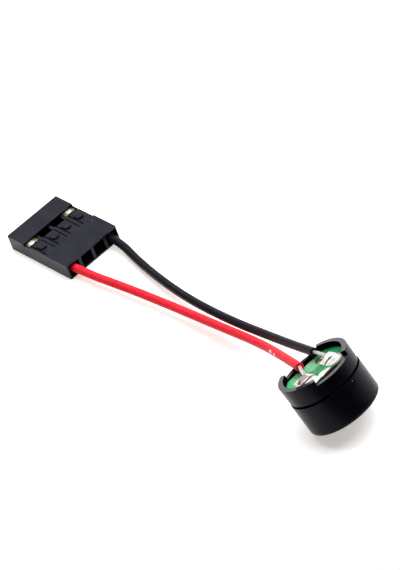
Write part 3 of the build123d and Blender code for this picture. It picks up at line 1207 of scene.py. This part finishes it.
@dataclass
class Connector:
    """The four-way housing, its two crimped terminals and the cores in their crimps."""

    place: HousingPlace = field(default_factory=HousingPlace)
    housing: Finish = MouldedPlastic(
        "housing_plastic",
        colour=(0.004, 0.0045, 0.011, 1),
        bloom=(0.007, 0.0075, 0.016, 1),
        # edge is the colour of the painted edge highlight.
        edge=(0.014, 0.015, 0.024, 1),
        tint=(0.82, 0.85, 1, 1),
        roughness=(0.36, 0.5),
        gloss=0.3,
        # hollow_reach sets how far the painted shade in hollows reaches.
        hollow_reach=0.2,
        grain_size=0.12,
        grain_depth=0.4,
        edge_radius=0.07,
        speck_spacing=1.6,
    )
    core: Finish = SheetMetal("crimped_strands", streak_width=0.05)
    glint: Colour = (1, 0.99, 0.95, 1)
    glint_reach: Spot = (0.45, 0.48)
    red_glint: Spot = (4.2, -0.1)
    black_glint: Spot = (4.1, 0.05)

    def terminal_finish(self) -> SheetMetal:
        """Describe the terminals' finish, dark as painted shade but for a painted highlight below
        each window.

        Returns:
            The finish.
        """
        glints = []
        for way, (along, shift) in ((0, self.red_glint), (self.place.ways - 1, self.black_glint)):
            aside = self.place.aside(way) + shift
            glints.append(Patch(along, aside, *self.glint_reach, self.glint))
        return SheetMetal(
            "terminal_metal",
            # Painted shade: the metal is dark but for its painted highlights.
            colour=(0.2, 0.18, 0.1, 1),
            dull=(0.1, 0.085, 0.04, 1),
            plane=self.place.matrix(),
            metallic=0.4,
            patches=tuple(glints),
        )

    def build(self) -> None:
        """Dress the housing, the terminals and the cores."""
        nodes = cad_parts
        self.housing.dress(nodes["connector_housing"])
        terminal = self.terminal_finish()
        for colour in ("red", "black"):
            terminal.dress(nodes[f"{colour}_terminal"])
            self.core.dress(nodes[f"{colour}_crimped_core"])
        log.info("connector dressed")


def both_wires() -> dict[str, Wire]:
    """Describe both wires.

    Returns:
        The wires by colour.
    """
    # Points of the painted highlight spots on the red wire, in metres.
    highlight_spots = (
        (-0.01242, 0.00298, 0.00591),
        (-0.01212, 0.00285, 0.00598),
        (-0.01113, 0.00237, 0.00624),
    )
    red = Wire(
        "red",
        Insulation("red_insulation", crinkle=(-0.0095, 0.002, 0.0066), highlight_spots=highlight_spots),
        exits=[(-2.72, -0.86, -0.18), (-9.09, -0.19, 0.32)],
        free=[
            (-16.64, 5.25, 4.15),
            (-25.83, 7.38, 2.49),
            (-35.68, 9.02, 1.7),
            (-44.5, 10.09, 1.46),
        ],
        way=0,
        with_pieces=["connector_housing", "red_terminal", "red_crimped_core"],
    )
    black = Wire(
        "black",
        Insulation(
            "black_insulation",
            colour=(0.01, 0.01, 0.018, 1),
            deep=(0.005, 0.005, 0.01, 1),
            rubbed=(0.016, 0.016, 0.026, 1),
            gloss=0.21,
            roughness=(0.3, 0.46),
        ),
        exits=[(-3.15, 2.15, -0.16), (-8.55, 2.04, 0.25)],
        free=[
            (-15.53, 6.62, 4.53),
            (-23.81, 8.55, 2.85),
            (-32.6, 10.7, 1.78),
            (-40.0, 12.95, 1.3),
            (-47.66, 15.86, 0.94),
        ],
        way=3,
        with_pieces=["black_terminal", "black_crimped_core"],
    )
    return {wire.colour: wire for wire in (red, black)}


# Studio


@dataclass
class Studio:
    """White floor, soft light from behind and the camera at the photograph's angle."""

    camera_place: Point = (0.274555, -0.246828, 0.328634)
    camera_right: Point = (0.773449, 0.5708, -0.275614)
    camera_down: Point = (0.220455, -0.649917, -0.727329)
    lens: float = 228.82
    sensor: float = 36
    view_range: Range = (0.01, 50)
    floor_size: float = 0.6
    floor_front: float = 0.03
    back: Point = (-0.743, 0.669, 0.0)
    back_range: Range = (-0.2, 0.9)
    back_light: Range = (0.03, 0.75)
    height_range: Range = (0.2, 0.6)
    height_share: Range = (0.5, 0.75)
    lamp_distance: float = 0.7
    soft_side: Point = (-0.05, 0.45, 0.9)
    soft_size: float = 1.0
    soft_power: float = 10.5
    glint_side: Point = (-0.72, 0.42, 0.5)
    glint_size: float = 0.1
    glint_power: float = 0.25

    def build(self) -> None:
        """Build the floor, the world, the lamps and the camera."""
        self.floor()
        self.world()
        self.lamps()
        self.camera()
        log.info("studio set")

    def floor(self) -> None:
        """Lay the floor, which ends a little in front of the part and leaves the front dark."""
        mesh = bmesh.new()
        bmesh.ops.create_grid(mesh, x_segments=1, y_segments=1, size=self.floor_size / 2)
        towards = Vector((self.camera_place[0], self.camera_place[1]))
        turned = Matrix.Rotation(math.atan2(towards.y, towards.x), 4, "Z")
        shift = Matrix.Translation((self.floor_front - self.floor_size / 2, 0, 0))
        bmesh.ops.transform(mesh, matrix=turned @ shift, verts=mesh.verts)
        data = bpy.data.meshes.new("studio_floor")
        mesh.to_mesh(data)
        mesh.free()
        floor = new_object("studio_floor", data)
        StudioFloor("studio_paper").dress(floor)

    def world(self) -> None:
        """Make a sky that is bright high behind the part, dark in front of it, and seen white."""
        world = bpy.data.worlds.new("studio_sky")
        world.use_nodes = True
        world.node_tree.nodes.clear()
        graph = Graph(world.node_tree)
        towards = graph.add("TexCoord").outputs["Generated"]
        behind = graph.measure("DOT_PRODUCT", towards, self.back)
        height = graph.add("SeparateXYZ", {0: towards}).outputs[2]
        light = graph.span(behind, self.back_range, self.back_light)
        share = graph.span(height, self.height_range, self.height_share)
        seen = graph.add("LightPath").outputs["Is Camera Ray"]
        strength = graph.average(seen, graph.maths("MULTIPLY", light, share), 1.0)
        sky = graph.add("Background", {"Color": (1, 1, 1, 1), "Strength": strength})
        graph.add("OutputWorld", {"Surface": sky.outputs[0]})
        bpy.context.scene.world = world

    def lamps(self) -> None:
        """Hang a large soft lamp that mirrors don't show, and a small one that they do."""
        for name, side, size, power, mirrored in (
            ("soft_lamp", self.soft_side, self.soft_size, self.soft_power, False),
            ("glint_lamp", self.glint_side, self.glint_size, self.glint_power, True),
        ):
            data = bpy.data.lights.new(name, "AREA")
            data.size = size
            data.energy = power
            lamp = new_object(name, data)
            lamp.location = Vector(side).normalized() * self.lamp_distance
            lamp.rotation_euler = (-lamp.location).to_track_quat("-Z", "Y").to_euler()
            lamp.visible_glossy = mirrored

    def camera(self) -> None:
        """Set the camera that matches the photograph."""
        right, down = Vector(self.camera_right).normalized(), Vector(self.camera_down).normalized()
        forward = right.cross(down)
        data = bpy.data.cameras.new("photo_camera")
        data.sensor_width = self.sensor
        data.lens = self.lens
        data.clip_start, data.clip_end = self.view_range
        camera = new_object("photo_camera", data)
        turned = Matrix((right, -down, -forward)).transposed().to_4x4()
        camera.matrix_world = Matrix.Translation(self.camera_place) @ turned
        bpy.context.scene.camera = camera


def main() -> None:
    """Build the studio, lay the cords and dress every piece."""
    logging.basicConfig(level=logging.INFO, format="%(message)s")
    bpy.context.scene.view_settings.view_transform = "Standard"
    Studio().build()
    buzzer, connector, wires = Buzzer(), Connector(), both_wires()
    for wire in wires.values():
        wire.build(buzzer.place, connector.place)
    buzzer.build(wires)
    connector.build()


if __name__ == "__main__":
    main()
